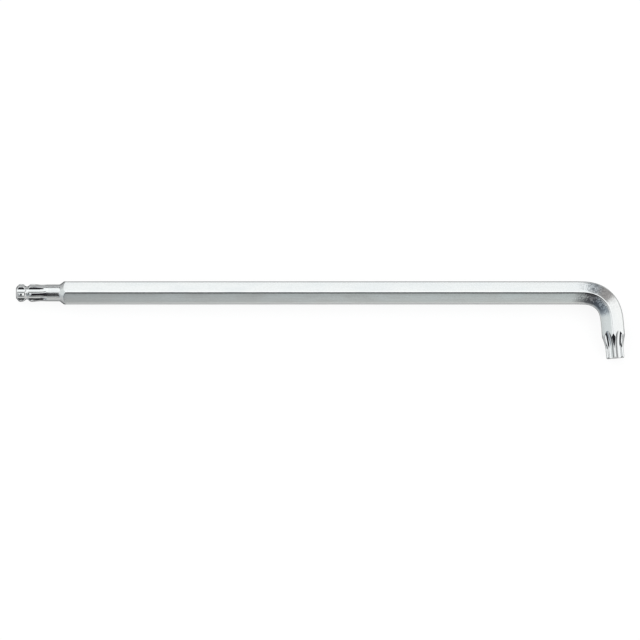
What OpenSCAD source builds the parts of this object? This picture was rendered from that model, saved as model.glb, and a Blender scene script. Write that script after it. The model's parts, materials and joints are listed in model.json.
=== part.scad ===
// L-shaped star key: one hexagon bar, bent near one end.
// The short arm ends in a straight six-lobed star, the long arm in a like star with a ball contour.
// The bar is divided across its axis into the lengths that one shaping step each has formed,
// and each length meets the next face to face.
// The key lies flat: the long arm runs along X to the bend, the short arm points to -Y, and Z is up.
// The origin is the middle of the key's box, on the surface that the key lies on.

/* [Bar] */
// Width across the flats of the hexagon bar
bar_flats = 5; // [4.6:0.1:6]
// Radius on the long corners of the bar
bar_corner = 0.28; // [0.1:0.02:0.6]
// Straight length from the end face of the ball to the start of the bend
long_straight = 124.1; // [60:0.1:240]
// Straight length from the end of the bend to the end face of the star tip
short_straight = 8.84; // [7:0.02:30]

/* [Bend] */
// Radius of the bend, at the centre line of the bar
bend_radius = 6; // [4:0.1:20]
// Angle that the bar turns through
bend_angle = 85; // [60:1:110]

/* [Star tip] */
// Width of the star over opposite lobes
tip_points = 4.43; // [4.2:0.01:4.6]
// Width of the star between the bottoms of opposite flutes
tip_roots = 3.15; // [2.8:0.01:3.3]
// Radius of the lobes
tip_lobe = 0.37; // [0.3:0.01:0.45]
// Length of the star at its full depth
tip_length = 2.2; // [1:0.1:4]
// Chamfer around the end face
tip_chamfer = 0.2; // [0.05:0.05:0.4]
// Radius in which flutes and lobes sweep out to the bar
flare_radius = 8; // [4:0.5:12]

/* [Ball end] */
// Diameter of the ball over its lobes
ball_points = 4.02; // [3.9:0.02:4.3]
// Width of the ball between the bottoms of opposite flutes
ball_roots = 2.95; // [2.7:0.01:3.1]
// Radius of the lobes that would suit the flutes
ball_lobe = 0.37; // [0.25:0.01:0.42]
// Radius of the ball's contour along the axis
ball_contour = 1.15; // [1:0.05:1.4]
// Distance from the end face to the widest place of the ball
ball_equator = 1.1; // [0.9:0.05:1.4]
// Diameter of the flat end face
ball_face = 2.3; // [1.6:0.1:2.6]
// Slope of the chamfer behind the end face, measured from the axis
ball_slope = 52; // [45:1:65]
// Angle by which the star of the ball end is rolled against the flats
ball_roll = -13; // [-30:1:30]
// Depth of the waist below the bottoms of the flutes
waist_depth = 0.075; // [0.05:0.025:0.2]
// Radius of the hollow of the waist
waist_hollow = 0.44; // [0.3:0.02:0.6]

/* [Neck] */
// Diameter of the neck over its lobes, next to the waist
neck_points = 4; // [3.9:0.02:4.2]
// Radius of the neck's contour next to the waist
neck_contour = 1; // [0.8:0.05:1.2]
// Diameter of the neck where it is plain
neck_width = 3.64; // [3.4:0.02:3.8]
// Distance from the end face to where the flutes start to run out
flute_end = 5.3; // [4.6:0.1:6]
// Radius in which the flutes run out
runout_radius = 4; // [2.5:0.1:6]
// Length of full section kept beyond the end of a flute
flute_land = 0.3; // [0.1:0.05:0.8]
// Distance from the end face to where the neck starts to widen
neck_end = 9.35; // [8.5:0.05:12]
// Radius of the hollow between neck and shoulder
shoulder_hollow = 0.6; // [0.2:0.05:1]
// Slope of the shoulder, measured from the axis
shoulder_slope = 38; // [25:1:50]

/* [Hidden] */
$fn = 96;
chrome_bar = [0.80, 0.81, 0.81];
chrome_bend = [0.72, 0.73, 0.74];
chrome_tip = [0.86, 0.87, 0.87];
lobes = 6;
pitch = 360 / lobes;
half_pitch = pitch / 2;
// Length by which a cutting shape stands past what it cuts
past = 1;
// Depth by which a flute of the tip cuts into the lobe beside it
lobe_bite = 0.012;

// Hexagon bar
flat_half = bar_flats / 2;
corner_seat = (flat_half - bar_corner) / cos(half_pitch);
corner_reach = corner_seat + bar_corner;

// Star tip, with distances measured back from its end face
tip_flute = flute_radius(tip_points, tip_roots, tip_lobe, lobe_bite);
flute_run = arc_run(flare_radius, flat_half - tip_roots / 2);
lobe_run = arc_run(flare_radius, corner_reach - tip_points / 2);
flare_run = max(flute_run, lobe_run) + flute_land;
flare_end = tip_length + flare_run;
arm_length = short_straight - flare_end;

// Ball end, with points as [distance from the axis, distance from the end face]
ball_flute = flute_radius(ball_points, ball_roots, ball_lobe);
ball_seat = [ball_points / 2 - ball_contour, ball_equator];
ball_rim = ball_face / 2;
ball_edge_at = cone_leaves_circle(ball_rim - ball_seat[0], ball_equator, tan(ball_slope), ball_contour);
waist_half = ball_roots / 2 - waist_depth;
waist_seat = next_seat(ball_seat, waist_half + waist_hollow, ball_contour + waist_hollow);
neck_seat = next_seat(waist_seat, neck_points / 2 - neck_contour, neck_contour + waist_hollow);
waist_from = touch_point(ball_seat, waist_seat, ball_contour, waist_hollow);
waist_to = touch_point(neck_seat, waist_seat, neck_contour, waist_hollow);
neck_half = neck_width / 2;
runout_end = flute_end + arc_run(runout_radius, neck_half - ball_roots / 2) + flute_land;
hollow_end = [neck_half + shoulder_hollow * (1 - cos(shoulder_slope)),
    neck_end + shoulder_hollow * sin(shoulder_slope)];
bar_from = hollow_end[1] + (corner_reach - hollow_end[0]) / tan(shoulder_slope);

// Box of the key before it is moved to its origin
short_way = [cos(bend_angle), -sin(bend_angle)];
outer_side = [sin(bend_angle), cos(bend_angle)];
bend_out = [long_straight, -bend_radius] + bend_radius * outer_side;
tip_at = bend_out + short_straight * short_way;
flat_end_at = tip_at - (tip_length + lobe_run) * short_way;
tip_rim = tip_points / 2 - tip_chamfer;
key_right = max(flat_end_at[0] + flat_half * outer_side[0], tip_at[0] + tip_rim * outer_side[0]);
key_low = tip_at[1] - tip_rim * abs(outer_side[1]);
key_mid = [key_right / 2, (flat_half + key_low) / 2];

// Other short side of a right triangle
function side(slant, leg) = sqrt(slant * slant - leg * leg);
// Distance along the axis in which an arc that starts parallel to it rises by the given height
function arc_run(radius, rise) = side(radius, radius - rise);
// Flute radius at which a flute cuts into the lobe beside it by the given bite
function flute_radius(points, roots, lobe, bite = 0) =
    let (a = points / 2 - lobe, b = roots / 2, c = cos(half_pitch), reach = lobe - bite)
    (a * a + b * b - 2 * a * b * c - reach * reach) / (2 * (a * c + reach - b));
// Middle of the overlap of a lobe at angle 0 and the flute beside it
function lobe_meets_flute(points, roots, lobe, flute) =
    let (seat = roots / 2 + flute)
    touch_point([points / 2 - lobe, 0], seat * [cos(half_pitch), sin(half_pitch)], lobe, flute);
// Point where two circles that touch from outside meet
function touch_point(seat_a, seat_b, radius_a, radius_b) =
    seat_a + (seat_b - seat_a) * radius_a / (radius_a + radius_b);
// Centre at a given distance from the axis, farther back than the last one by a slanted step
function next_seat(last, out, step) = [out, last[1] + side(step, out - last[0])];
// Distance from the end face at which the chamfer's line leaves the ball's circle
function cone_leaves_circle(out, back, rise, radius) =
    let (p = (out * rise - back) / (1 + rise * rise),
        q = (out * out + back * back - radius * radius) / (1 + rise * rise))
    -p + sqrt(p * p - q);

// Places its children in the frame of the finished key
module in_frame() {
    translate([-key_mid[0], -key_mid[1], corner_reach]) children();
}

// Stands a cross-section up on the long arm's axis: its x becomes Y, its y becomes Z
module along_long_arm(from = 0) {
    translate([from, 0, 0]) rotate([90, 0, 90]) children();
}

// Does the same on the short arm's axis, with distances measured from the end of the bend
module along_short_arm(from = 0) {
    translate([long_straight, -bend_radius, 0])
        rotate(-bend_angle)
            translate([from, bend_radius, 0])
                rotate([90, 0, 90])
                    children();
}

// Repeats its children round the axis
module each_pitch(roll = 0) {
    for (i = [0 : lobes - 1])
        rotate(roll + i * pitch)
            children();
}

// Cross-section of the bar: a hexagon with rounded corners and a flat on either side
module bar_outline() {
    polygon([for (i = [0 : lobes - 1], way = [-1, 1])
        let (corner = half_pitch + i * pitch, touch = corner + way * half_pitch)
        corner_seat * [cos(corner), sin(corner)] + bar_corner * [cos(touch), sin(touch)]]);
    each_pitch(half_pitch)
        translate([corner_seat, 0])
            circle(bar_corner);
}

// Length of plain bar
module bar(length) {
    linear_extrude(length) bar_outline();
}

// Cross-section of the star, with a flute on either side
module star_outline(points, roots, lobe, flute) {
    difference() {
        union() {
            circle(norm(lobe_meets_flute(points, roots, lobe, flute)));
            each_pitch(half_pitch) translate([points / 2 - lobe, 0]) circle(lobe);
        }
        each_pitch() translate([roots / 2 + flute, 0]) circle(flute);
    }
}

// Rounds a contour off to a circle, except on one straight stretch of the axis
module round_off(seat, radius, straight_from, straight_to) {
    intersection() {
        children();
        union() {
            translate(seat) circle(radius);
            square([seat[0], flute_end + past]);
            translate([0, straight_from]) square([bar_flats, straight_to - straight_from]);
        }
    }
}

// Straight flute
module straight_flute(length, roots, radius) {
    translate([roots / 2 + radius, 0, -past]) cylinder(h = length + 2 * past, r = radius);
}

// Flute that leaves the full depth at the given distance and rises in an arc
module rising_flute(from, roots, radius, rise_radius) {
    translate([roots / 2 + rise_radius, 0, from])
        rotate([90, 0, 0])
            rotate_extrude()
                translate([rise_radius - radius, 0])
                    circle(radius);
}

// The contour is straight along the chamfer, which the ball's circle takes over from
module ball_head() {
    slope_out = ball_rim + waist_from[1] * tan(ball_slope);
    color(chrome_tip) in_frame() along_long_arm()
        difference() {
            rotate_extrude()
                round_off(ball_seat, ball_contour, 0, ball_edge_at / 2)
                    polygon([[0, 0], [ball_rim, 0], [slope_out, waist_from[1]], [0, waist_from[1]]]);
            each_pitch(-ball_roll) straight_flute(waist_from[1], ball_roots, ball_flute);
        }
}

module ball_waist() {
    color(chrome_tip) in_frame() along_long_arm()
        difference() {
            rotate_extrude()
                difference() {
                    polygon([[0, waist_from[1]], waist_from, waist_to, [0, waist_to[1]]]);
                    translate(waist_seat) circle(waist_hollow);
                }
            each_pitch(-ball_roll) straight_flute(waist_to[1], ball_roots, ball_flute);
        }
}

// The contour is straight along the taper, from halfway across the circle's cap that the taper cuts off
module fluted_neck() {
    taper = (neck_points / 2 - neck_half) / (flute_end - neck_seat[1]);
    taper_out = neck_half + taper * (flute_end - waist_to[1]);
    color(chrome_tip) in_frame() along_long_arm()
        difference() {
            rotate_extrude()
                round_off(neck_seat, neck_contour, neck_seat[1] + taper * neck_contour, flute_end)
                    polygon([[0, waist_to[1]], [taper_out, waist_to[1]],
                        [neck_half, flute_end], [0, flute_end]]);
            each_pitch(-ball_roll) straight_flute(flute_end, ball_roots, ball_flute);
        }
}

module flute_runout() {
    color(chrome_tip) in_frame() along_long_arm()
        difference() {
            translate([0, 0, flute_end]) cylinder(h = runout_end - flute_end, r = neck_half);
            each_pitch(-ball_roll) rising_flute(flute_end, ball_roots, ball_flute, runout_radius);
        }
}

module plain_neck() {
    color(chrome_tip) in_frame() along_long_arm(runout_end)
        cylinder(h = neck_end - runout_end, r = neck_half);
}

module shoulder() {
    color(chrome_tip) in_frame() along_long_arm()
        intersection() {
            rotate_extrude()
                difference() {
                    polygon([[0, neck_end], [neck_half, neck_end], hollow_end,
                        [corner_reach, bar_from], [0, bar_from]]);
                    translate([neck_half + shoulder_hollow, neck_end]) circle(shoulder_hollow);
                }
            bar(bar_from + past);
        }
}

module long_arm() {
    color(chrome_bar) in_frame() along_long_arm(bar_from)
        bar(long_straight - bar_from);
}

module bend() {
    color(chrome_bend) in_frame()
        translate([long_straight, -bend_radius, 0])
            rotate(90 - bend_angle)
                rotate_extrude(angle = bend_angle)
                    translate([bend_radius, 0])
                        bar_outline();
}

module short_arm() {
    color(chrome_bar) in_frame() along_short_arm()
        bar(arm_length);
}

// Drawn from the tip's end face back to the bar
module star_flare() {
    color(chrome_tip) in_frame() along_short_arm(short_straight) mirror([0, 0, 1])
        difference() {
            intersection() {
                bar(flare_end);
                rotate_extrude()
                    difference() {
                        polygon([[0, tip_length], [tip_points / 2, tip_length],
                            [tip_points / 2 + flare_radius - side(flare_radius, flare_run), flare_end],
                            [0, flare_end]]);
                        translate([tip_points / 2 + flare_radius, tip_length]) circle(flare_radius);
                    }
            }
            each_pitch() rising_flute(tip_length, tip_roots, tip_flute, flare_radius);
        }
}

// Drawn from its end face back to the flare
module star_tip() {
    wide = tip_rim + tip_length;
    color(chrome_tip) in_frame() along_short_arm(short_straight) mirror([0, 0, 1])
        intersection() {
            linear_extrude(tip_length) star_outline(tip_points, tip_roots, tip_lobe, tip_flute);
            rotate_extrude() polygon([[0, 0], [tip_rim, 0], [wide, tip_length], [0, tip_length]]);
        }
}

ball_head();
ball_waist();
fluted_neck();
flute_runout();
plain_neck();
shoulder();
long_arm();
bend();
short_arm();
star_flare();
star_tip();
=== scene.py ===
"""Dresses a star key: bent hexagon bar with a star tip on one arm and a ball-ended star on the other."""

import json
import logging
import math
from abc import ABC, abstractmethod
from dataclasses import dataclass, field
from enum import Enum

import bmesh
import bpy
import numpy as np
from mathutils import Matrix, Vector


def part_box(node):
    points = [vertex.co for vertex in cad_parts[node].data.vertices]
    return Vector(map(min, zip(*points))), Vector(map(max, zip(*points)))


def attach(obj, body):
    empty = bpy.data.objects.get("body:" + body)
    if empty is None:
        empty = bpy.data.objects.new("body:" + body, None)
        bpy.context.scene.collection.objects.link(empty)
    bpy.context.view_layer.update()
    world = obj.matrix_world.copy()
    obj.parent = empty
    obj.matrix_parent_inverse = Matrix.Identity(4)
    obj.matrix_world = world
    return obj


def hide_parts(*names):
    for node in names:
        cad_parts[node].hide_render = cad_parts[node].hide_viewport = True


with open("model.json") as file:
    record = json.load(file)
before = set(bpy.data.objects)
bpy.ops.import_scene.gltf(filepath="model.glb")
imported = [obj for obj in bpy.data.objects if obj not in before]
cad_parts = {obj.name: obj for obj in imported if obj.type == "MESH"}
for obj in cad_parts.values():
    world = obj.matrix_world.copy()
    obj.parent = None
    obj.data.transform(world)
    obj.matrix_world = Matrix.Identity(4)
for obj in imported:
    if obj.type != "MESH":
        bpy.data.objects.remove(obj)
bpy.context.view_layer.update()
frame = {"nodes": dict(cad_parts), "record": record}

LOG = logging.getLogger("star_key")
MM = 0.001
MICRON = 1e-6
LOBES = 6
PITCH = 2.0 * math.pi / LOBES
Array = np.ndarray
Socket = bpy.types.NodeSocket
Triple = tuple[float, float, float]
Colour = tuple[float, float, float, float]


class Slot(Enum):
    """Material slots of the record."""

    DRAWN = "drawn_chrome"
    BENT = "bent_chrome"
    FORMED = "formed_chrome"


def fold(angle: Array, roll: float = 0.0) -> Array:
    """Turns an angle round the axis into the angle from the nearest of six like places.

    Args:
        angle: Angles in the cross-section, from the outer side.
        roll: Angle of one of the six places.

    Returns:
        Angles from 0 to half a pitch.
    """
    return np.abs(np.mod(angle - roll + PITCH / 2, PITCH) - PITCH / 2)


def rounded(edge: Array | float, limits: list[Array]) -> Array:
    """Joins surfaces that each cut the bar off, with rounded edges where they meet.

    Args:
        edge: Radius of the edges.
        limits: Distance by which a point lies outside each surface.

    Returns:
        Distance by which the point lies outside the joined surface.
    """
    return np.sqrt(sum(np.maximum(limit + edge, 0.0) ** 2 for limit in limits)) - edge


def rise_of_arc(radius: float, run: Array) -> Array:
    """Height that an arc, parallel to the axis at its start, has gained after a run.

    Args:
        radius: Radius of the arc.
        run: Distance along the axis from the arc's start.

    Returns:
        Height of the arc over its start.
    """
    return radius - np.sqrt(np.maximum(radius**2 - np.clip(run, 0.0, radius) ** 2, 0.0))


@dataclass(frozen=True)
class CentreLine:
    """Axis of the bar, from the ball's end face through the bend to the star tip's end face.

    Attributes:
        start: Middle of the ball's end face.
        long_straight: Length from there to the bend.
        bend_radius: Radius of the bend.
        bend_angle: Angle of the bend.
        short_straight: Length from the bend to the star tip's end face.
        ease: Length over which the bar passes from straight into the bend.
        fineness: Steps in which the eased bend is worked out.
        rounds: Rounds in which its radius is worked out.
    """

    start: Vector
    long_straight: float
    bend_radius: float
    bend_angle: float
    short_straight: float
    ease: float = 4.0 * MM
    fineness: int = 4001
    rounds: int = 10

    @classmethod
    def from_frame(cls) -> "CentreLine":
        """Works the axis out from the CAD nodes and the mount on the tip's end face."""
        tip = next(m for m in frame["record"]["mounts"] if m["name"] == "tip_face")
        arm_low, arm_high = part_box("long_arm")
        bend_low, bend_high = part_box("bend")
        start = (arm_low + arm_high) / 2
        start.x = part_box("ball_head")[0].x
        angle = math.acos(tip["axis"][0])
        flat_half = (arm_high.y - arm_low.y) / 2
        radius = (bend_high.x - bend_low.x) / math.sin(angle) - flat_half
        line = cls(start, arm_high.x - start.x, radius, angle, 0.0)
        short = float((np.array(tip["pos_m"]) - line.bend_end) @ np.array(tip["axis"]))
        return cls(start, line.long_straight, radius, angle, short)

    @property
    def short_way(self) -> Array:
        """Direction of the short arm."""
        return np.array((math.cos(self.bend_angle), -math.sin(self.bend_angle), 0.0))

    @property
    def bend_end(self) -> Array:
        """Point of the axis at which the short arm starts."""
        turned = np.array((math.sin(self.bend_angle), math.cos(self.bend_angle) - 1.0, 0.0))
        return np.array(self.start) + (self.long_straight, 0.0, 0.0) + self.bend_radius * turned

    @property
    def bend_to(self) -> float:
        """Distance along the axis at which the bend ends."""
        return self.long_straight + self.bend_radius * self.bend_angle

    @property
    def length(self) -> float:
        """Whole length of the axis."""
        return self.bend_to + self.short_straight

    def place(self, along: Array) -> tuple[Array, Array]:
        """Finds places on the axis.

        Args:
            along: Distances from the ball's end face.

        Returns:
            Points on the axis, and the directions that point to the outer side of the bend there.
        """
        known, x, y, turns = self.eased_bend()
        turn = np.interp(along, known, turns)
        before = np.minimum(along - known[0], 0.0)
        after = np.maximum(along - known[-1], 0.0)
        level = np.zeros_like(turn)
        outward = np.stack((np.sin(turn), np.cos(turn), level), -1)
        centre = np.stack((np.interp(along, known, x) + before, np.interp(along, known, y), level), -1)
        return np.array(self.start) + centre + after[..., None] * self.short_way, outward

    def eased_bend(self) -> tuple[Array, Array, Array, Array]:
        """Works out the bend with a curvature that grows and fades, between the same straight axes.

        Returns:
            Distances along the axis, places from the axis' start in X and in Y, and turns.
        """
        half = self.bend_angle / 2
        tangent = self.bend_radius * math.tan(half)
        spread = 1.0 / math.cos(half)
        radius = self.bend_radius
        for _ in range(self.rounds):
            shift = self.ease**2 / (24.0 * radius)  # offset of an arc behind a curvature that grows evenly
            radius = self.bend_radius - shift * spread / (spread - 1.0)
        length = radius * self.bend_angle + self.ease
        run = np.linspace(0.0, length, self.fineness)
        curve = np.minimum(np.minimum(run, length - run) / self.ease, 1.0)

        def summed(values: Array) -> Array:
            """Running integral over the run."""
            steps = (values[1:] + values[:-1]) / 2 * np.diff(run)
            return np.concatenate(((0.0,), np.cumsum(steps)))

        turn = summed(curve)
        turn *= self.bend_angle / turn[-1]
        x, y = summed(np.cos(turn)), -summed(np.sin(turn))
        reach = math.hypot(x[-1], y[-1]) * spread / 2
        low, high = self.long_straight + tangent - reach, self.bend_to - tangent + reach
        return low + run / length * (high - low), low + x, y, turn

    def span(self, node: str) -> tuple[float, float]:
        """Finds where a CAD node starts and ends along the axis.

        Args:
            node: Name of the node.

        Returns:
            Distances of its two ends from the ball's end face.
        """
        low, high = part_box(node)
        if node == "bend":
            return self.long_straight, self.bend_to
        if high.x <= self.start.x + self.long_straight + MICRON:
            return low.x - self.start.x, high.x - self.start.x
        points = np.array([v.co for v in frame["nodes"][node].data.vertices])
        reach = (points - self.bend_end) @ self.short_way + self.bend_to
        return float(reach.min()), float(reach.max())


@dataclass(frozen=True)
class BarSection:
    """Hexagon of the bar, with faintly crowned flats and rounded corners.

    Attributes:
        flat_half: Half the width across the flats.
        corner: Radius of the corners.
        crown: Radius of the flats' crown.
    """

    flat_half: float
    corner: float = 0.55 * MM
    crown: float = 30.0 * MM

    @property
    def seat(self) -> tuple[float, float]:
        """Centre of a corner's arc: its height over the axis, square to a flat, and its way sideways."""
        sag = ((self.flat_half - self.corner) * math.tan(PITCH / 2)) ** 2 / (2 * self.crown)
        height = self.flat_half - self.corner - sag
        return height, height * math.tan(PITCH / 2)

    @property
    def corner_half(self) -> float:
        """Half the angle that a corner's arc takes up round the axis."""
        height, aside = self.seat
        return PITCH / 2 - math.atan2(aside, height + self.corner)

    def limit(self, out: Array, angle: Array) -> Array:
        """Distance by which points lie outside the hexagon.

        Args:
            out: Distances from the axis.
            angle: Angles in the cross-section.

        Returns:
            Distances, below 0 inside.
        """
        turn = fold(angle)
        height, aside = out * np.cos(turn), out * np.sin(turn)
        seat_height, seat_aside = self.seat
        flat = height - self.flat_half + aside**2 / (2 * self.crown)
        arc = np.hypot(height - seat_height, aside - seat_aside) - self.corner
        return np.where(aside > seat_aside, arc, flat)

    def corner_gap(self, out: Array, angle: Array) -> Array:
        """Distance of points from the nearest corner's arc, along the flat."""
        return np.maximum(self.seat[1] - out * np.sin(fold(angle)), 0.0)


@dataclass(frozen=True)
class Flutes:
    """Six flutes, straight from the end face and then rising in an arc.

    Attributes:
        roots: Width between the bottoms of opposite flutes.
        radius: Radius of a flute.
        full_to: Distance from the end face up to which they keep their full depth.
        rise: Radius of the arc in which they rise.
        roll: Angle of one flute.
    """

    roots: float
    radius: float
    full_to: float
    rise: float
    roll: float = 0.0

    def limits(self, back: Array, out: Array, angle: Array) -> list[Array]:
        """Distances by which points lie inside the two nearest flutes.

        Args:
            back: Distances from the end face.
            out: Distances from the axis.
            angle: Angles in the cross-section.

        Returns:
            One array for either flute.
        """
        near = fold(angle, self.roll)
        run = np.maximum(back - self.full_to, 0.0)
        found = []
        for turn in (near, PITCH - near):
            reach = np.hypot(self.roots / 2 + self.rise - out * np.cos(turn), run)
            found.append(self.radius - np.hypot(reach - self.rise + self.radius, out * np.sin(turn)))
        return found


@dataclass
class RingGrid:
    """Points of the key's skin, in rings along the axis.

    Attributes:
        points: Places of the points, by ring and by place in the ring.
        normals: Outward directions of the skin there.
        unbent: Places of the points on the bar before it was bent.
        edge: Nearness to an edge, from 0 to 1.
    """

    points: Array
    normals: Array
    unbent: Array
    edge: Array


@dataclass
class SubAssembly(ABC):
    """A run of the bar that is shaped alike.

    Attributes:
        line: Axis of the bar.
        section: Hexagon of the bar.
        end_edge: Radius of the edge round an end face.
        end_rings: Rings round that edge.
        edge_reach: Distance over which an edge counts as near.
        inner: Distance from the axis that is inside the skin everywhere.
        outer: Distance from the axis that is outside it everywhere.
        halvings: Halvings of the distance between them in the search for the skin.
    """

    line: CentreLine
    section: BarSection
    end_edge: float = 0.06 * MM
    end_rings: int = 7
    edge_reach: float = 0.22 * MM
    inner: float = 0.5 * MM
    outer: float = 3.3 * MM
    halvings: int = 24

    @property
    @abstractmethod
    def steps(self) -> dict[str, float]:
        """Nodes of the run in order, with the greatest distance between their rings."""

    @property
    @abstractmethod
    def slots(self) -> dict[str, Slot]:
        """Material slot of each node."""

    @abstractmethod
    def back(self, along: Array) -> Array:
        """Distance from the end face of the run."""

    @abstractmethod
    def limits(self, back: Array, out: Array, angle: Array) -> list[Array]:
        """Distances by which points lie outside each surface of the run."""

    @abstractmethod
    def edge_radius(self, back: Array) -> Array:
        """Radius of the edges at distances from the end face."""

    def stations(self, node: str) -> Array:
        """Places the rings of one node.

        Args:
            node: Name of the node.

        Returns:
            Distances along the axis, closer together round the edge of an end face.
        """
        low, high = self.line.span(node)
        count = math.ceil((high - low) / self.steps[node]) + 1
        places = np.linspace(low, high, count)
        bow = self.end_edge * (1.0 - np.cos(np.linspace(0.0, math.pi / 2, self.end_rings)))
        if node == "ball_head":
            places = np.concatenate((bow, places[places > bow[-1]]))
        if node == "star_tip":
            bow = self.line.length - bow[::-1]
            places = np.concatenate((places[places < bow[0]], bow))
        return places

    def excess(self, back: Array, out: Array, angle: Array) -> Array:
        """Distance by which points lie outside the finished run.

        Args:
            back: Distances from the end face.
            out: Distances from the axis.
            angle: Angles in the cross-section.

        Returns:
            Distances, below 0 inside.
        """
        drawn_in = self.end_edge - np.sqrt(
            self.end_edge**2 - np.clip(self.end_edge - back, 0.0, self.end_edge) ** 2)
        return rounded(self.edge_radius(back), self.limits(back, out, angle)) + drawn_in

    def radii(self, along: Array, angle: Array) -> tuple[Array, Array]:
        """Finds the skin by halving the distance between a point inside and one outside.

        Args:
            along: Distances along the axis.
            angle: Angles of the points of a ring.

        Returns:
            Distances of the skin from the axis, and nearness of an edge there.
        """
        back, turn = np.meshgrid(self.back(along), angle, indexing="ij")
        low = np.full(back.shape, self.inner)
        high = np.full(back.shape, self.outer)
        for _ in range(self.halvings):
            middle = (low + high) / 2
            outside = self.excess(back, middle, turn) > 0.0
            high = np.where(outside, middle, high)
            low = np.where(outside, low, middle)
        out = (low + high) / 2
        limits = np.sort(np.stack(np.broadcast_arrays(*self.limits(back, out, turn))), 0)
        gap = -limits[-2] if len(limits) > 1 else np.full(out.shape, self.edge_reach)
        flat_gap = np.maximum(-self.section.limit(out, turn), self.section.corner_gap(out, turn))
        gap = np.minimum(gap, flat_gap)
        return out, np.clip(1.0 - gap / self.edge_reach, 0.0, 1.0)


@dataclass
class BallEnd(SubAssembly):
    """Ball, waist, fluted neck, plain neck and shoulder on the end of the long arm.

    Attributes:
        points: Width of the ball over opposite lobes.
        roots: Width between the bottoms of opposite flutes.
        flute: Radius of a flute.
        contour_radius: Radius of the ball's contour along the axis.
        equator: Distance of the ball's widest place from the end face.
        face: Width of the end face.
        slope: Slope of the cone round the end face.
        roll: Angle of one flute.
        waist_depth: Depth of the waist below the flutes.
        waist_hollow: Radius of the waist's contour.
        neck_points: Width of the neck behind the waist.
        neck_contour: Radius of the contour there.
        neck_width: Width of the plain neck.
        flute_end: Distance from the end face up to which the flutes keep their depth.
        runout: Radius of the arc in which they rise.
        neck_end: Distance from the end face at which the shoulder starts.
        shoulder_hollow: Radius of the shoulder's foot.
        shoulder_slope: Slope of the shoulder.
        ball_edge: Radius of the edges on the ball.
        ball_edge_to: Distance from the end face up to which they keep it.
        neck_edge: Radius of the edges on the neck.
        neck_edge_from: Distance from the end face at which they have it.
        shoulder_edge: Radius of the edge between shoulder and bar.
        shoulder_edge_run: Distance from the shoulder's start at which it is reached.
        ring_step: Greatest distance between rings.
    """

    points: float = 4.02 * MM
    roots: float = 2.95 * MM
    flute: float = 0.854 * MM
    contour_radius: float = 1.15 * MM
    equator: float = 1.1 * MM
    face: float = 2.3 * MM
    slope: float = math.radians(52.0)
    roll: float = math.radians(13.0)
    waist_depth: float = 0.075 * MM
    waist_hollow: float = 0.44 * MM
    neck_points: float = 4.0 * MM
    neck_contour: float = 1.0 * MM
    neck_width: float = 3.64 * MM
    flute_end: float = 5.3 * MM
    runout: float = 4.0 * MM
    neck_end: float = 9.35 * MM
    shoulder_hollow: float = 0.6 * MM
    shoulder_slope: float = math.radians(38.0)
    ball_edge: float = 0.11 * MM
    ball_edge_to: float = 2.0 * MM
    neck_edge: float = 0.07 * MM
    neck_edge_from: float = 3.5 * MM
    shoulder_edge: float = 0.06 * MM
    shoulder_edge_run: float = 0.5 * MM
    ring_step: float = 0.045 * MM

    @property
    def steps(self) -> dict[str, float]:
        """Nodes from the end face to the bar."""
        fine = dict.fromkeys(("ball_head", "ball_waist", "fluted_neck", "flute_runout"), self.ring_step)
        return {**fine, "plain_neck": 2 * self.ring_step, "shoulder": 0.8 * self.ring_step}

    @property
    def slots(self) -> dict[str, Slot]:
        """All of the run is turned and pressed."""
        return dict.fromkeys(self.steps, Slot.FORMED)

    def back(self, along: Array) -> Array:
        """The run starts at the start of the axis."""
        return along

    @property
    def flutes(self) -> Flutes:
        """Flutes of ball and neck."""
        return Flutes(self.roots, self.flute, self.flute_end, self.runout, self.roll)

    def contour(self, back: Array) -> Array:
        """Radius of the turned contour.

        Args:
            back: Distances from the end face.

        Returns:
            Distances of the contour from the axis.
        """
        ball_seat = self.points / 2 - self.contour_radius
        waist_seat = self.roots / 2 - self.waist_depth + self.waist_hollow
        neck_seat = self.neck_points / 2 - self.neck_contour
        waist_at = self.equator + math.sqrt(
            (self.contour_radius + self.waist_hollow) ** 2 - (waist_seat - ball_seat) ** 2)
        neck_at = waist_at + math.sqrt(
            (self.neck_contour + self.waist_hollow) ** 2 - (waist_seat - neck_seat) ** 2)
        neck_half = self.neck_width / 2
        taper = (self.neck_points / 2 - neck_half) / (self.flute_end - neck_at)

        cone = self.face / 2 + back * math.tan(self.slope)
        ball = ball_seat + np.sqrt(np.maximum(self.contour_radius**2 - (back - self.equator) ** 2, 0.0))
        hollow = waist_seat - np.sqrt(np.maximum(self.waist_hollow**2 - (back - waist_at) ** 2, 0.0))
        brow = neck_seat + np.sqrt(np.maximum(self.neck_contour**2 - (back - neck_at) ** 2, 0.0))
        slim = neck_half + taper * np.maximum(self.flute_end - back, 0.0)
        foot_to = self.neck_end + self.shoulder_hollow * math.sin(self.shoulder_slope)
        foot = neck_half + rise_of_arc(self.shoulder_hollow, np.minimum(back, foot_to) - self.neck_end)
        flank = foot + np.maximum(back - foot_to, 0.0) * math.tan(self.shoulder_slope)

        reach = waist_at - self.equator
        ball_to = self.equator + reach * self.contour_radius / (self.contour_radius + self.waist_hollow)
        reach = neck_at - waist_at
        hollow_to = waist_at + reach * self.waist_hollow / (self.neck_contour + self.waist_hollow)
        brow_to = neck_at + self.neck_contour * math.sin(math.atan(taper))
        return np.select(
            [back < ball_to, back < hollow_to, back < brow_to, back < self.flute_end],
            [np.minimum(cone, ball), hollow, np.minimum(brow, slim + self.neck_contour), slim],
            np.where(back < self.neck_end, neck_half, flank))

    def limits(self, back: Array, out: Array, angle: Array) -> list[Array]:
        """The turned contour, the flutes and the hexagon of the bar."""
        return [out - self.contour(back), self.section.limit(out, angle),
                *self.flutes.limits(back, out, angle)]

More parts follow.
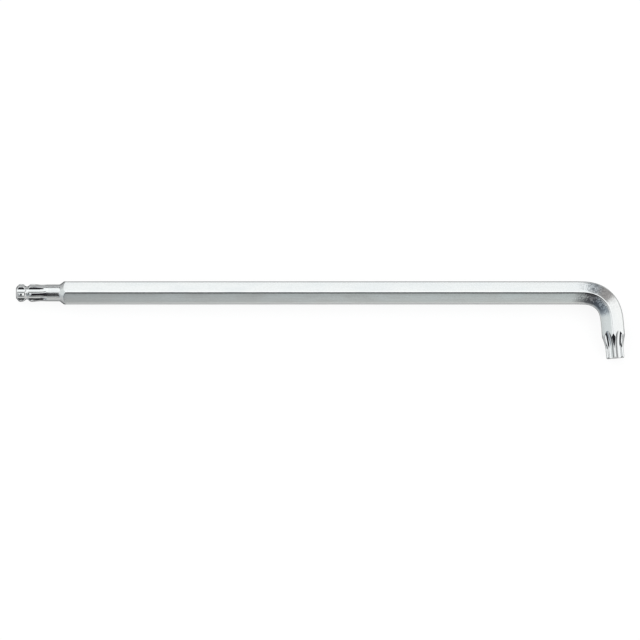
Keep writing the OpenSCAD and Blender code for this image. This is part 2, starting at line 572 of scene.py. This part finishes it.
    def edge_radius(self, back: Array) -> Array:
        """Broadest on the ball, and crisper towards the bar."""
        shoulder_at = self.neck_end + self.shoulder_edge_run
        return np.interp(back, (self.ball_edge_to, self.neck_edge_from, self.neck_end, shoulder_at),
                         (self.ball_edge, self.neck_edge, self.neck_edge, self.shoulder_edge))


@dataclass
class BentBar(SubAssembly):
    """Long arm, bend and short arm of hexagon bar.

    Attributes:
        steadying: Radius of edges that only steadies the search, as the hexagon has its own corners.
    """

    steadying: float = 0.02 * MM

    @property
    def steps(self) -> dict[str, float]:
        """Nodes from the shoulder to the star."""
        return {"long_arm": 1.5 * MM, "bend": 0.11 * MM, "short_arm": 0.25 * MM}

    @property
    def slots(self) -> dict[str, Slot]:
        """The arms are as drawn, the bend has a coarser skin."""
        return {"long_arm": Slot.DRAWN, "bend": Slot.BENT, "short_arm": Slot.DRAWN}

    def back(self, along: Array) -> Array:
        """The run has no end face, so it is kept far from one."""
        return along + self.line.length

    def limits(self, back: Array, out: Array, angle: Array) -> list[Array]:
        """The hexagon alone."""
        return [self.section.limit(out, angle)]

    def edge_radius(self, back: Array) -> Array:
        """The same everywhere."""
        return np.full_like(back, self.steadying)


@dataclass
class StarEnd(SubAssembly):
    """Flare and straight star on the end of the short arm.

    Attributes:
        points: Width of the tip over opposite lobes.
        roots: Width between the bottoms of opposite flutes.
        flute: Radius of a flute.
        lobe: Radius of a lobe.
        tip_length: Length of the straight star.
        chamfer: Width of the chamfer round the end face.
        flare: Radius of the arc in which lobes and flutes sweep out to the bar.
        flare_edge: Radius of the edges where the flutes run out.
        lobe_fade: Length over which the lobes pass into those edges.
    """

    points: float = 4.43 * MM
    roots: float = 3.15 * MM
    flute: float = 0.945 * MM
    lobe: float = 0.37 * MM
    tip_length: float = 2.2 * MM
    chamfer: float = 0.2 * MM
    flare: float = 8.0 * MM
    flare_edge: float = 0.06 * MM
    lobe_fade: float = 1.6 * MM

    @property
    def steps(self) -> dict[str, float]:
        """Nodes from the bar to the end face."""
        return {"star_flare": 0.04 * MM, "star_tip": 0.05 * MM}

    @property
    def slots(self) -> dict[str, Slot]:
        """All of the run is pressed."""
        return dict.fromkeys(self.steps, Slot.FORMED)

    def back(self, along: Array) -> Array:
        """The run ends at the end of the axis."""
        return self.line.length - along

    def limits(self, back: Array, out: Array, angle: Array) -> list[Array]:
        """The swept contour of the lobes, the flutes and the hexagon of the bar."""
        run = back - self.tip_length
        contour = self.points / 2 + rise_of_arc(self.flare, run)
        cone = self.points / 2 - self.chamfer + back
        flutes = Flutes(self.roots, self.flute, self.tip_length, self.flare)
        return [out - np.minimum(contour, cone), self.section.limit(out, angle),
                *flutes.limits(back, out, angle)]

    def edge_radius(self, back: Array) -> Array:
        """Full round lobes on the tip, crisp edges where the flutes run out."""
        faded_at = self.tip_length + self.lobe_fade
        return np.interp(back, (self.tip_length, faded_at), (self.lobe, self.flare_edge))


@dataclass(frozen=True)
class Step:
    """A smooth step from one value to another.

    Attributes:
        low: Place at which the step starts.
        high: Place at which it ends.
        before: Value before the step.
        after: Value after it.
    """

    low: float
    high: float
    before: float = 0.0
    after: float = 1.0

    @classmethod
    def about(cls, middle: float, soft: float, before: float = 0.0, after: float = 1.0) -> "Step":
        """Makes a step from its middle.

        Args:
            middle: Middle of the step.
            soft: Half its width.
            before: Value before it.
            after: Value after it.

        Returns:
            The step.
        """
        return cls(middle - soft, middle + soft, before, after)


@dataclass(frozen=True)
class Grain:
    """A noise in the plating.

    Attributes:
        per_metre: Grains to the metre along the bar, and in the two directions across it.
        detail: Octaves of finer grains.
    """

    per_metre: Triple
    detail: float = 2.0


class NodeSheet:
    """Adds and links the nodes of one node tree."""

    def __init__(self, tree: bpy.types.NodeTree) -> None:
        """Empties the tree.

        Args:
            tree: Tree to fill.
        """
        self.tree = tree
        tree.nodes.clear()

    def add(self, kind: str, inputs: dict[int | str, object] | None = None,
            **settings: object) -> bpy.types.Node:
        """Adds a node.

        Args:
            kind: Type of the node, without the word ShaderNode in front.
            inputs: Value, or socket to link, for each input by name or number.
            settings: Properties of the node.

        Returns:
            The node.
        """
        node = self.tree.nodes.new("ShaderNode" + kind)
        for name, value in settings.items():
            setattr(node, name, value)
        for key, value in (inputs or {}).items():
            if isinstance(value, bpy.types.NodeSocket):
                self.tree.links.new(value, node.inputs[key])
            else:
                node.inputs[key].default_value = value
        return node

    def math(self, operation: str, *values: object) -> Socket:
        """Adds a Math node.

        Args:
            operation: Name of the operation.
            values: Numbers or sockets.

        Returns:
            Its result.
        """
        return self.add("Math", dict(enumerate(values)), operation=operation).outputs[0]

    def product(self, first: Socket, *others: Socket) -> Socket:
        """Multiplies numbers.

        Args:
            first: First number.
            others: Numbers to multiply it by, in order.

        Returns:
            Their product.
        """
        for other in others:
            first = self.math("MULTIPLY", first, other)
        return first

    def step(self, value: Socket, step: Step) -> Socket:
        """Adds a smooth step.

        Args:
            value: Number to step.
            step: The step.

        Returns:
            The stepped value.
        """
        inputs = dict(enumerate((value, step.low, step.high, step.before, step.after)))
        return self.add("MapRange", inputs, interpolation_type="SMOOTHSTEP").outputs[0]

    def mix(self, share: Socket, first: Socket | Colour, second: Socket | Colour) -> Socket:
        """Mixes two colours.

        Args:
            share: Share of the second colour.
            first: First colour.
            second: Second colour.

        Returns:
            The mixed colour.
        """
        return self.add("Mix", {0: share, 6: first, 7: second}, data_type="RGBA").outputs[2]

    def scaled(self, colour: Triple, by: Socket) -> Socket:
        """Adds a colour that is made brighter or darker.

        Args:
            colour: Colour to scale.
            by: Number to scale it by.

        Returns:
            The scaled colour.
        """
        return self.add("VectorMath", {0: colour, "Scale": by}, operation="SCALE").outputs[0]

    def noise(self, vector: Socket, grain: Grain) -> Socket:
        """Adds a noise that is drawn out by different scales.

        Args:
            vector: Coordinates in metres.
            grain: The grain.

        Returns:
            The noise, from 0 to 1.
        """
        place = self.add("Mapping", {"Vector": vector, "Scale": grain.per_metre})
        inputs = {"Vector": place.outputs[0], "Scale": 1.0, "Detail": grain.detail}
        return self.add("TexNoise", inputs).outputs[0]


@dataclass(frozen=True)
class Plating:
    """Look of the chrome on one kind of surface.

    Attributes:
        roughness: Roughness of the plating.
        lines: Depth of the fine lines along the bar, in microns.
        peel: Depth of the coarse grain that bending raises, in microns.
        rings: Depth of the fine marks round the axis, in microns.
        stain_and_painted_shade: Share of its brightness that the chrome loses in the dark spots of the
            grain, partly the dull skin of the bend and partly painted shade standing in for its dark,
            mottled reflection.
    """

    roughness: float
    lines: float
    peel: float
    rings: float
    stain_and_painted_shade: float


DRAWN = Plating(roughness=0.18, lines=0.7, peel=1.0, rings=0.0, stain_and_painted_shade=0.04)
BENT = Plating(roughness=0.13, lines=0.5, peel=42.0, rings=0.0, stain_and_painted_shade=0.82)
TURNED = Plating(roughness=0.25, lines=0.1, peel=0.3, rings=0.15, stain_and_painted_shade=0.04)
FORMED = Plating(roughness=0.09, lines=0.15, peel=0.5, rings=0.25, stain_and_painted_shade=0.04)


@dataclass(frozen=True)
class ChromeFinish:
    """Chrome plating of the whole key, whose look changes along the bar without a break.

    A step across goes from the inner to the outer side of the bend. A step by edge goes up to an edge.

    Attributes:
        line: Axis of the bar.
        tint: Colour of the chrome.
        shaded: Colour of the chrome where it is a little dull, and away from the painted highlight on the
            edges.
        stain_and_painted_shade: Colour of the dark spots, partly dull skin and partly painted shade standing
            in for the bend's dark reflection.
        rim: Tint of its mirror image at a grazing angle, on the bar.
        formed_rim_painted_shade: The same on the turned and pressed ends, set to black as painted shade that
            darkens their outlines.
        lines: Grain of the drawn lines along the bar.
        peel: Grain of the coarse skin of the bend.
        rings: Grain of the marks round the axis.
        cloud: Grain of the slow changes in gloss.
        spots: Grain of the dark spots, partly dull skin and partly painted shade.
        neck_blend: Length over which the look passes from the fluted to the plain neck.
        bar_blend: Half the length over which it passes from the shoulder to the bar.
        bend_blend: Half the length over which it passes from the bar to the bend.
        bend_fade: Distances before the end of the bend between which it passes back.
        flare_blend: Length over which it passes from the bar to the flare.
        ahead_across: Distance by which the skin of the bend starts sooner, which it does on the inner side.
        ahead_run: Share of that distance, by the way into the bend.
        smooth_across: Part of the coarse skin that is stretched smooth.
        smooth_run: Share of that part, by the way into the bend.
        peel_by_edge: Factor on the coarse skin.
        gloss_by_cloud: Factor on the roughness by the clouds.
        gloss_by_lines: Factor on the roughness by the lines.
        gloss_by_edge: Factor on the roughness.
        tone_by_cloud: Share of the brighter colour by the clouds.
        painted_highlight_on_edge: Share of the brighter colour that an edge adds, a painted highlight along
            the edges and ridges.
        crowding_and_shade_across: Rise of the spots' grain on the inner side of the bend, where the skin is
            pressed together and more shade is painted.
        spot_by_grain: Strength of the spots by their grain.
        spot_across: Factor on the spots, less on the stretched side.
        spot_by_edge: Factor on the spots.
    """

    line: CentreLine
    tint: Colour = (0.505, 0.515, 0.515, 1.0)
    shaded: Colour = (0.465, 0.48, 0.485, 1.0)
    stain_and_painted_shade: Colour = (0.06, 0.065, 0.075, 1.0)
    rim: Colour = (0.45, 0.45, 0.45, 1.0)
    formed_rim_painted_shade: Colour = (0.0, 0.0, 0.0, 1.0)
    lines: Grain = Grain((90.0, 8000.0, 8000.0))
    peel: Grain = Grain((4500.0, 4500.0, 4500.0), 3.0)
    rings: Grain = Grain((9000.0, 300.0, 300.0))
    cloud: Grain = Grain((160.0, 420.0, 420.0), 4.0)
    spots: Grain = Grain((2800.0, 2800.0, 2800.0), 3.0)
    neck_blend: float = 1.0 * MM
    bar_blend: float = 0.3 * MM
    bend_blend: float = 1.6 * MM
    bend_fade: tuple[float, float] = (3.6 * MM, 0.4 * MM)
    flare_blend: float = 1.2 * MM
    ahead_across: Step = Step(-2.4 * MM, 0.4 * MM, 1.3 * MM, 0.0)
    ahead_run: Step = Step(1.0 * MM, 4.0 * MM, 1.0, 0.0)
    smooth_across: Step = Step(-0.6 * MM, 0.6 * MM, 0.0, 0.75)
    smooth_run: Step = Step(2.0 * MM, 4.5 * MM)
    peel_by_edge: Step = Step(0.1, 0.8, 1.0, 0.12)
    gloss_by_cloud: Step = Step(0.25, 0.75, 0.8, 1.25)
    gloss_by_lines: Step = Step(0.2, 0.8, 0.85, 1.15)
    gloss_by_edge: Step = Step(0.5, 1.0, 1.0, 0.7)
    tone_by_cloud: Step = Step(0.3, 0.65)
    painted_highlight_on_edge: float = 0.3
    crowding_and_shade_across: Step = Step(-2.6 * MM, -1.0 * MM, 0.3, 0.0)
    spot_by_grain: Step = Step(0.42, 0.61)
    spot_across: Step = Step(-0.9 * MM, 0.9 * MM, 1.0, 0.72)
    spot_by_edge: Step = Step(0.3, 0.9, 1.0, 0.25)

    def zones(self) -> list[tuple[float, Plating]]:
        """Distances along the axis between which one plating passes into the next."""
        line = self.line
        neck_from = line.span("plain_neck")[0]
        bar_from = line.span("long_arm")[0]
        flare_from = line.span("star_flare")[0]
        bend_from, bend_to = line.span("bend")
        fade_from, fade_to = self.bend_fade
        return [(0.0, FORMED), (neck_from - self.neck_blend, FORMED),
                (neck_from, TURNED), (bar_from - self.bar_blend, TURNED),
                (bar_from + self.bar_blend, DRAWN), (bend_from - self.bend_blend, DRAWN),
                (bend_from + self.bend_blend, BENT), (bend_to - fade_from, BENT),
                (bend_to - fade_to, DRAWN), (flare_from, DRAWN),
                (flare_from + self.flare_blend, FORMED), (line.length, FORMED)]

    def ramp(self, sheet: NodeSheet, share: Socket, trait: str) -> Socket:
        """Adds a number that changes along the bar.

        Args:
            sheet: Node sheet to add to.
            share: Distance along the axis as a share of its length.
            trait: Name of the plating's number.

        Returns:
            The number.
        """
        zones = self.zones()
        most = max(getattr(plating, trait) for _, plating in zones)
        node = sheet.add("ValToRGB", {0: share})
        elements = node.color_ramp.elements
        while len(elements) < len(zones):
            elements.new(1.0)
        for element, (along, _) in zip(elements, zones):
            element.position = along / self.line.length
        for element, (_, plating) in zip(elements, zones):
            level = getattr(plating, trait) / most
            element.color = (level, level, level, 1.0)
        return sheet.math("MULTIPLY", node.outputs[0], most)

    def material(self, slot: Slot) -> bpy.types.Material:
        """Makes the material of one slot.

        Args:
            slot: Slot of the record.

        Returns:
            The material.
        """
        made = bpy.data.materials.new(slot.value)
        made.use_nodes = True
        sheet = NodeSheet(made.node_tree)
        unbent = sheet.add("Attribute", attribute_name="unbent").outputs["Vector"]
        edge = sheet.add("Attribute", attribute_name="edge").outputs["Fac"]
        along, outward, _ = sheet.add("SeparateXYZ", {0: unbent}).outputs
        share = sheet.math("DIVIDE", along, self.line.length)
        into = sheet.math("SUBTRACT", along, self.line.long_straight)
        ahead = sheet.product(sheet.step(outward, self.ahead_across), sheet.step(into, self.ahead_run))
        bent_share = sheet.math("DIVIDE", sheet.math("ADD", along, ahead), self.line.length)
        smooth = sheet.product(sheet.step(outward, self.smooth_across), sheet.step(into, self.smooth_run))
        coarse = sheet.math("SUBTRACT", 1.0, smooth)

        lines, rings = sheet.noise(unbent, self.lines), sheet.noise(unbent, self.rings)
        peel = sheet.product(sheet.noise(unbent, self.peel), sheet.step(edge, self.peel_by_edge), coarse)
        height = sheet.math("MULTIPLY", lines, self.ramp(sheet, share, "lines"))
        height = sheet.math("MULTIPLY_ADD", peel, self.ramp(sheet, bent_share, "peel"), height)
        height = sheet.math("MULTIPLY_ADD", rings, self.ramp(sheet, share, "rings"), height)
        bump = sheet.add("Bump", {"Strength": 1.0, "Distance": MICRON, "Height": height})

        cloud = sheet.noise(unbent, self.cloud)
        gloss = sheet.product(self.ramp(sheet, share, "roughness"), sheet.step(cloud, self.gloss_by_cloud),
                              sheet.step(lines, self.gloss_by_lines), sheet.step(edge, self.gloss_by_edge))
        # Painted highlight: edges take the brighter chrome colour; the clouds vary the tone at random.
        tone_and_edge_highlight = sheet.math("MULTIPLY_ADD", edge, self.painted_highlight_on_edge, sheet.step(cloud, self.tone_by_cloud))
        # Painted shade: dark spots in the bend's skin, partly real dullness and partly standing in for the
        # bend's dark, mottled reflection.
        grain = sheet.math("ADD", sheet.noise(unbent, self.spots), sheet.step(outward, self.crowding_and_shade_across))
        stain_and_shade_loss = sheet.product(sheet.step(grain, self.spot_by_grain), self.ramp(sheet, bent_share, "stain_and_painted_shade"),
                             sheet.step(outward, self.spot_across), coarse,
                             sheet.step(edge, self.spot_by_edge))
        colour = sheet.mix(stain_and_shade_loss, sheet.mix(tone_and_edge_highlight, self.shaded, self.tint), self.stain_and_painted_shade)
        # Specular Tint darkens grazing reflections; on the turned and pressed ends it is black, painted
        # shade along their outlines.
        shader = sheet.add("BsdfPrincipled", {
            "Base Color": colour, "Metallic": 1.0, "Roughness": gloss, "Normal": bump.outputs[0],
            "Specular Tint": self.formed_rim_painted_shade if slot is Slot.FORMED else self.rim})
        sheet.add("OutputMaterial", {"Surface": shader.outputs[0]})
        return made


@dataclass
class StarKey:
    """The whole key: its runs, the rings of its skin and its pieces.

    Attributes:
        line: Axis of the bar.
        runs: Sub-assemblies from the ball to the star tip.
        flat_steps: Points of a ring on one flat.
        corner_steps: Points of a ring on one corner.
        rows: First and last ring of each node.
    """

    line: CentreLine
    runs: list[SubAssembly]
    flat_steps: int = 48
    corner_steps: int = 12
    rows: dict[str, tuple[int, int]] = field(default_factory=dict)

    def ring_angles(self) -> Array:
        """Angles of the points of a ring, closer together on the bar's corners."""
        half = self.runs[0].section.corner_half
        found = []
        for side in range(LOBES):
            flat_from = side * PITCH - PITCH / 2 + half
            corner_from = side * PITCH + PITCH / 2 - half
            corner_to = corner_from + 2 * half
            found.append(np.linspace(flat_from, corner_from, self.flat_steps, endpoint=False))
            found.append(np.linspace(corner_from, corner_to, self.corner_steps, endpoint=False))
        return np.concatenate(found)

    def grid(self) -> RingGrid:
        """Lays out the skin of the key and notes which rows belong to which node.

        Returns:
            The rings of the whole key.
        """
        angle = self.ring_angles()
        along, out, edge = [], [], []
        count = 0
        for run in self.runs:
            for node in run.steps:
                places = run.stations(node)
                radii, near = run.radii(places, angle)
                skip = 1 if along else 0
                self.rows[node] = (count - skip, count - skip + len(places) - 1)
                along.append(places[skip:])
                out.append(radii[skip:])
                edge.append(near[skip:])
                count += len(places) - skip
        along, out, edge = (np.concatenate(rows) for rows in (along, out, edge))
        centre, outward = self.line.place(along)
        level = np.array((0.0, 0.0, 1.0))
        across, up = out * np.cos(angle), out * np.sin(angle)
        points = centre[:, None] + across[..., None] * outward[:, None] + up[..., None] * level
        round_way = np.roll(points, -1, 1) - np.roll(points, 1, 1)
        long_way = np.gradient(points, axis=0)
        normals = np.cross(round_way, long_way)
        normals /= np.linalg.norm(normals, axis=-1, keepdims=True)
        unbent = np.stack((np.broadcast_to(along[:, None], out.shape), across, up), -1)
        return RingGrid(points, normals, unbent, edge)

    def piece(self, node: str, grid: RingGrid) -> bpy.types.Object:
        """Makes one length of the bar: a tube of rings, formed to the skin and closed at both ends.

        Args:
            node: Name of the CAD node that the piece stands for.
            grid: Rings of the whole key.

        Returns:
            The piece.
        """
        first, last = self.rows[node]
        gaps = last - first
        steps = grid.points.shape[1]
        bm = bmesh.new()
        bmesh.ops.create_cone(bm, cap_ends=True, segments=steps, radius1=1.0, radius2=1.0, depth=gaps)
        sides = [e for e in bm.edges if e.verts[0].co.z * e.verts[1].co.z < 0.0]
        bmesh.ops.subdivide_edges(bm, edges=sides, cuts=gaps - 1, use_grid_fill=True)
        bm.verts.index_update()
        blank = np.array([v.co for v in bm.verts])
        row = np.rint(blank[:, 2] + (first + last) / 2).astype(int)
        turn = np.arctan2(blank[:, 1], blank[:, 0])
        place = np.rint(turn / (2 * math.pi) * steps).astype(int) % steps
        for vertex, co in zip(bm.verts, grid.points[row, place]):
            vertex.co = co
        for face in bm.faces:
            face.smooth = len(face.verts) == 4
        mesh = bpy.data.meshes.new(node + "_skin")
        bm.to_mesh(mesh)
        bm.free()
        self.store(mesh, grid, row, place)
        made = bpy.data.objects.new(node + "_skin", mesh)
        bpy.context.scene.collection.objects.link(made)
        return made

    @staticmethod
    def store(mesh: bpy.types.Mesh, grid: RingGrid, row: Array, place: Array) -> None:
        """Stores in a mesh what the finish needs, and the directions of the skin.

        Args:
            mesh: Mesh of a piece.
            grid: Rings of the whole key.
            row: Ring of each point.
            place: Place of each point in its ring.
        """
        unbent = mesh.attributes.new("unbent", "FLOAT_VECTOR", "POINT")
        unbent.data.foreach_set("vector", grid.unbent[row, place].astype(np.float32).ravel())
        edge = mesh.attributes.new("edge", "FLOAT", "POINT")
        edge.data.foreach_set("value", grid.edge[row, place].astype(np.float32).ravel())
        corners = np.empty(len(mesh.loops), dtype=np.int32)
        mesh.loops.foreach_get("vertex_index", corners)
        shown = grid.normals[row, place][corners]
        for face in mesh.polygons:
            if not face.use_smooth:
                shown[list(face.loop_indices)] = face.normal
        mesh.normals_split_custom_set(shown.tolist())

    def build(self) -> None:
        """Builds and dresses every piece and lets it stand for its CAD node."""
        finish = ChromeFinish(self.line)
        materials = {slot: finish.material(slot) for slot in Slot}
        grid = self.grid()
        for run in self.runs:
            for node, slot in run.slots.items():
                made = self.piece(node, grid)
                made.data.materials.append(materials[slot])
                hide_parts(node)
                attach(made, "root")
                LOG.info("%s of the %s: %d faces, %s", made.name, type(run).__name__,
                         len(made.data.polygons), slot.value)


@dataclass(frozen=True)
class Panel:
    """One soft light panel of the studio, as the key sees it.

    Attributes:
        name: What it is.
        azimuth: Directions of its two sides, in degrees from +X towards +Y.
        height: Sine of the elevation at its lower and upper side.
        colour: Brightness in red, green and blue.
        soft: Width of its soft sides, in degrees.
        fade: Width of its soft lower and upper side, as a sine.
    """

    name: str
    azimuth: tuple[float, float]
    height: tuple[float, float]
    colour: Triple
    soft: float = 6.0
    fade: float = 0.1

    def add(self, sheet: NodeSheet, level_way: Socket, height: Socket) -> Socket:
        """Adds the panel to the world.

        Args:
            sheet: Node sheet of the world.
            level_way: Level direction that a ray points in.
            height: Sine of the ray's elevation.

        Returns:
            Brightness of the panel in that direction.
        """
        middle = math.radians(sum(self.azimuth) / 2)
        half = abs(self.azimuth[1] - self.azimuth[0]) / 2
        towards = sheet.add("VectorMath", {0: level_way, 1: (math.cos(middle), math.sin(middle), 0.0)},
                            operation="DOT_PRODUCT").outputs["Value"]
        wide = sheet.step(towards, Step(math.cos(math.radians(half + self.soft)),
                                        math.cos(math.radians(half - self.soft))))
        low, high = self.height
        above = sheet.step(height, Step.about(low, self.fade))
        below = sheet.step(height, Step.about(high, self.fade, 1.0, 0.0))
        mask = sheet.product(above, below, wide)
        return sheet.scaled(self.colour, mask)


@dataclass(frozen=True)
class Studio:
    """Floor, soft light and camera.

    Attributes:
        panels: Light panels round the key.
        ceiling: Brightness of the ceiling.
        ceiling_rise: Share of that brightness, by the sine of the elevation.
        boom: Half the width of the dark strip in the front half of the ceiling, as a sine.
        boom_soft: Half the width of the strip's soft sides.
        boom_end: Where the strip gives way to the rear half, by the share of a direction towards +Y.
        boom_left: Share of the ceiling to the left of the strip, by the sine of the elevation.
        lens_half: Half the width of the dark lens overhead, as a sine.
        lens_soft: Half the width of its soft rim.
        gloom: Brightness of the dark room between the panels.
        floor_half: Half the side of the floor.
        floor_colour: Colour of the floor.
        floor_white: White that the floor shows of its own.
        floor_glow: Share of that white in the floor, so that its shadows stay faint.
        view_width: Width of the view at the height of the bar's axis.
        view_middle: Point in the middle of the view, at the height of the bar's axis.
        lean: Angles by which the camera stands off the upright, towards +X and +Y.
        lens: Focal length of the camera.
        clip: Nearest and farthest distance that the camera sees.
    """

    panels: tuple[Panel, ...] = (
        Panel("rear window", (82.0, 150.0), (0.26, 0.72), (1.82, 1.84, 1.83), fade=0.06),
        Panel("left wall", (148.0, 192.0), (0.40, 0.72), (1.32, 1.37, 1.36), fade=0.07),
        Panel("low left wall", (148.0, 192.0), (-0.05, 0.34), (1.46, 1.52, 1.50), fade=0.12),
        Panel("right window", (-60.0, 39.0), (0.10, 0.70), (1.80, 1.80, 1.78)),
        Panel("front wall top", (-94.0, -58.0), (0.47, 0.64), (1.03, 1.11, 1.085), soft=3.0, fade=0.07),
        Panel("front wall", (-94.0, -58.0), (0.00, 0.47), (1.10, 1.075, 1.03), soft=3.0, fade=0.07),
        Panel("low front wall", (-168.0, -94.0), (0.00, 0.26), (1.05, 1.10, 1.09)),
        Panel("rear skirting", (40.0, 150.0), (-0.10, 0.22), (0.12, 0.12, 0.12)),
        Panel("cool rear gap", (66.0, 82.0), (0.20, 0.66), (0.56, 0.62, 0.67)),
        Panel("warm rear gap", (39.0, 66.0), (0.20, 0.66), (0.56, 0.535, 0.52)),
        Panel("warm front gap", (-120.0, -94.0), (0.30, 0.66), (0.235, 0.225, 0.235)),
        Panel("cool front gap", (-168.0, -120.0), (0.30, 0.66), (0.49, 0.565, 0.635)),
    )
    ceiling: Triple = (1.82, 1.84, 1.84)
    ceiling_rise: Step = Step(0.60, 0.80)
    boom: float = 0.38
    boom_soft: float = 0.05
    boom_end: Step = Step(-0.10, 0.01)
    boom_left: Step = Step(0.64, 0.76)
    lens_half: float = 0.09
    lens_soft: float = 0.03
    gloom: Triple = (0.03, 0.03, 0.035)
    floor_half: float = 2.0
    floor_colour: Colour = (0.98, 0.98, 0.98, 1.0)
    floor_white: Colour = (1.0, 1.0, 1.0, 1.0)
    floor_glow: float = 0.87
    view_width: float = 139.7 * MM
    view_middle: tuple[float, float] = (-0.04 * MM, 0.06 * MM)
    lean: tuple[float, float] = (math.radians(1.3), math.radians(-2.6))
    lens: float = 500.0
    clip: tuple[float, float] = (0.01, 10.0)

    def light(self) -> None:
        """Makes the world of panels."""
        world = bpy.data.worlds.new("studio")
        bpy.context.scene.world = world
        world.use_nodes = True
        sheet = NodeSheet(world.node_tree)
        way = sheet.add("TexCoord").outputs["Generated"]
        parts = sheet.add("SeparateXYZ", {0: way}).outputs
        level_way = sheet.add("VectorMath", {0: way, 1: (1.0, 1.0, 0.0)}, operation="MULTIPLY").outputs[0]
        level_way = sheet.add("VectorMath", {0: level_way}, operation="NORMALIZE").outputs[0]
        right = sheet.step(parts[0], Step.about(self.boom, self.boom_soft))
        left = sheet.step(parts[0], Step.about(-self.boom, self.boom_soft, 1.0, 0.0))
        left = sheet.product(left, sheet.step(parts[2], self.boom_left))
        behind = sheet.step(parts[1], self.boom_end)
        clear = sheet.math("MAXIMUM", sheet.math("MAXIMUM", left, right), behind)
        aside = sheet.math("SQRT", sheet.math("SUBTRACT", 1.0, sheet.math("POWER", parts[2], 2.0)))
        mask = sheet.product(clear, sheet.step(parts[2], self.ceiling_rise),
                             sheet.step(aside, Step.about(self.lens_half, self.lens_soft)))
        glow = sheet.scaled(self.ceiling, mask)
        glow = sheet.add("VectorMath", {0: glow, 1: self.gloom}, operation="ADD").outputs[0]
        for panel in self.panels:
            light = panel.add(sheet, level_way, parts[2])
            glow = sheet.add("VectorMath", {0: glow, 1: light}, operation="ADD").outputs[0]
        shader = sheet.add("Background", {"Color": glow, "Strength": 1.0})
        sheet.add("OutputWorld", {"Surface": shader.outputs[0]})

    def floor(self) -> bpy.types.Object:
        """Makes the floor.

        Returns:
            The floor's object.
        """
        bm = bmesh.new()
        bmesh.ops.create_grid(bm, x_segments=2, y_segments=2, size=self.floor_half)
        mesh = bpy.data.meshes.new("floor")
        bm.to_mesh(mesh)
        bm.free()
        made = bpy.data.objects.new("floor", mesh)
        bpy.context.scene.collection.objects.link(made)
        paper = bpy.data.materials.new("white_paper")
        paper.use_nodes = True
        sheet = NodeSheet(paper.node_tree)
        matt = sheet.add("BsdfDiffuse", {"Color": self.floor_colour})
        lit = sheet.add("Emission", {"Color": self.floor_white, "Strength": 1.0})
        rays = sheet.add("LightPath").outputs
        seen = sheet.math("MAXIMUM", rays["Is Camera Ray"], rays["Is Glossy Ray"])
        seen = sheet.math("MAXIMUM", seen, rays["Is Transmission Ray"])
        share = sheet.math("MULTIPLY", seen, self.floor_glow)
        shader = sheet.add("MixShader", {0: share, 1: matt.outputs[0], 2: lit.outputs[0]})
        sheet.add("OutputMaterial", {"Surface": shader.outputs[0]})
        mesh.materials.append(paper)
        return made

    def camera(self, axis_height: float) -> bpy.types.Object:
        """Makes the camera, almost straight above the key.

        Args:
            axis_height: Height of the bar's axis over the floor.

        Returns:
            The camera's object.
        """
        made = bpy.data.objects.new("camera", bpy.data.cameras.new("camera"))
        made.data.lens = self.lens
        distance = self.view_width * self.lens / made.data.sensor_width
        back = Vector((math.tan(self.lean[0]), math.tan(self.lean[1]), 1.0)).normalized()
        right = (Vector((1.0, 0.0, 0.0)) - back.x * back).normalized()
        turned = Matrix((right, back.cross(right), back)).transposed().to_4x4()
        middle = Vector((*self.view_middle, axis_height))
        made.matrix_world = Matrix.Translation(middle + distance * back) @ turned
        made.data.clip_start, made.data.clip_end = self.clip
        bpy.context.scene.collection.objects.link(made)
        bpy.context.scene.camera = made
        return made


def main() -> None:
    """Builds the key and the studio."""
    logging.basicConfig(level=logging.INFO, format="%(name)s: %(message)s")
    bpy.context.scene.view_settings.view_transform = "Standard"
    line = CentreLine.from_frame()
    arm_low, arm_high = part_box("long_arm")
    section = BarSection((arm_high.y - arm_low.y) / 2)
    LOG.info("axis %.3f mm long, bend of %.2f mm and %.1f degrees", line.length / MM,
             line.bend_radius / MM, math.degrees(line.bend_angle))
    key = StarKey(line, [BallEnd(line, section), BentBar(line, section), StarEnd(line, section)])
    key.build()
    studio = Studio()
    studio.light()
    studio.floor()
    studio.camera(line.start.z)


if __name__ == "__main__":
    main()
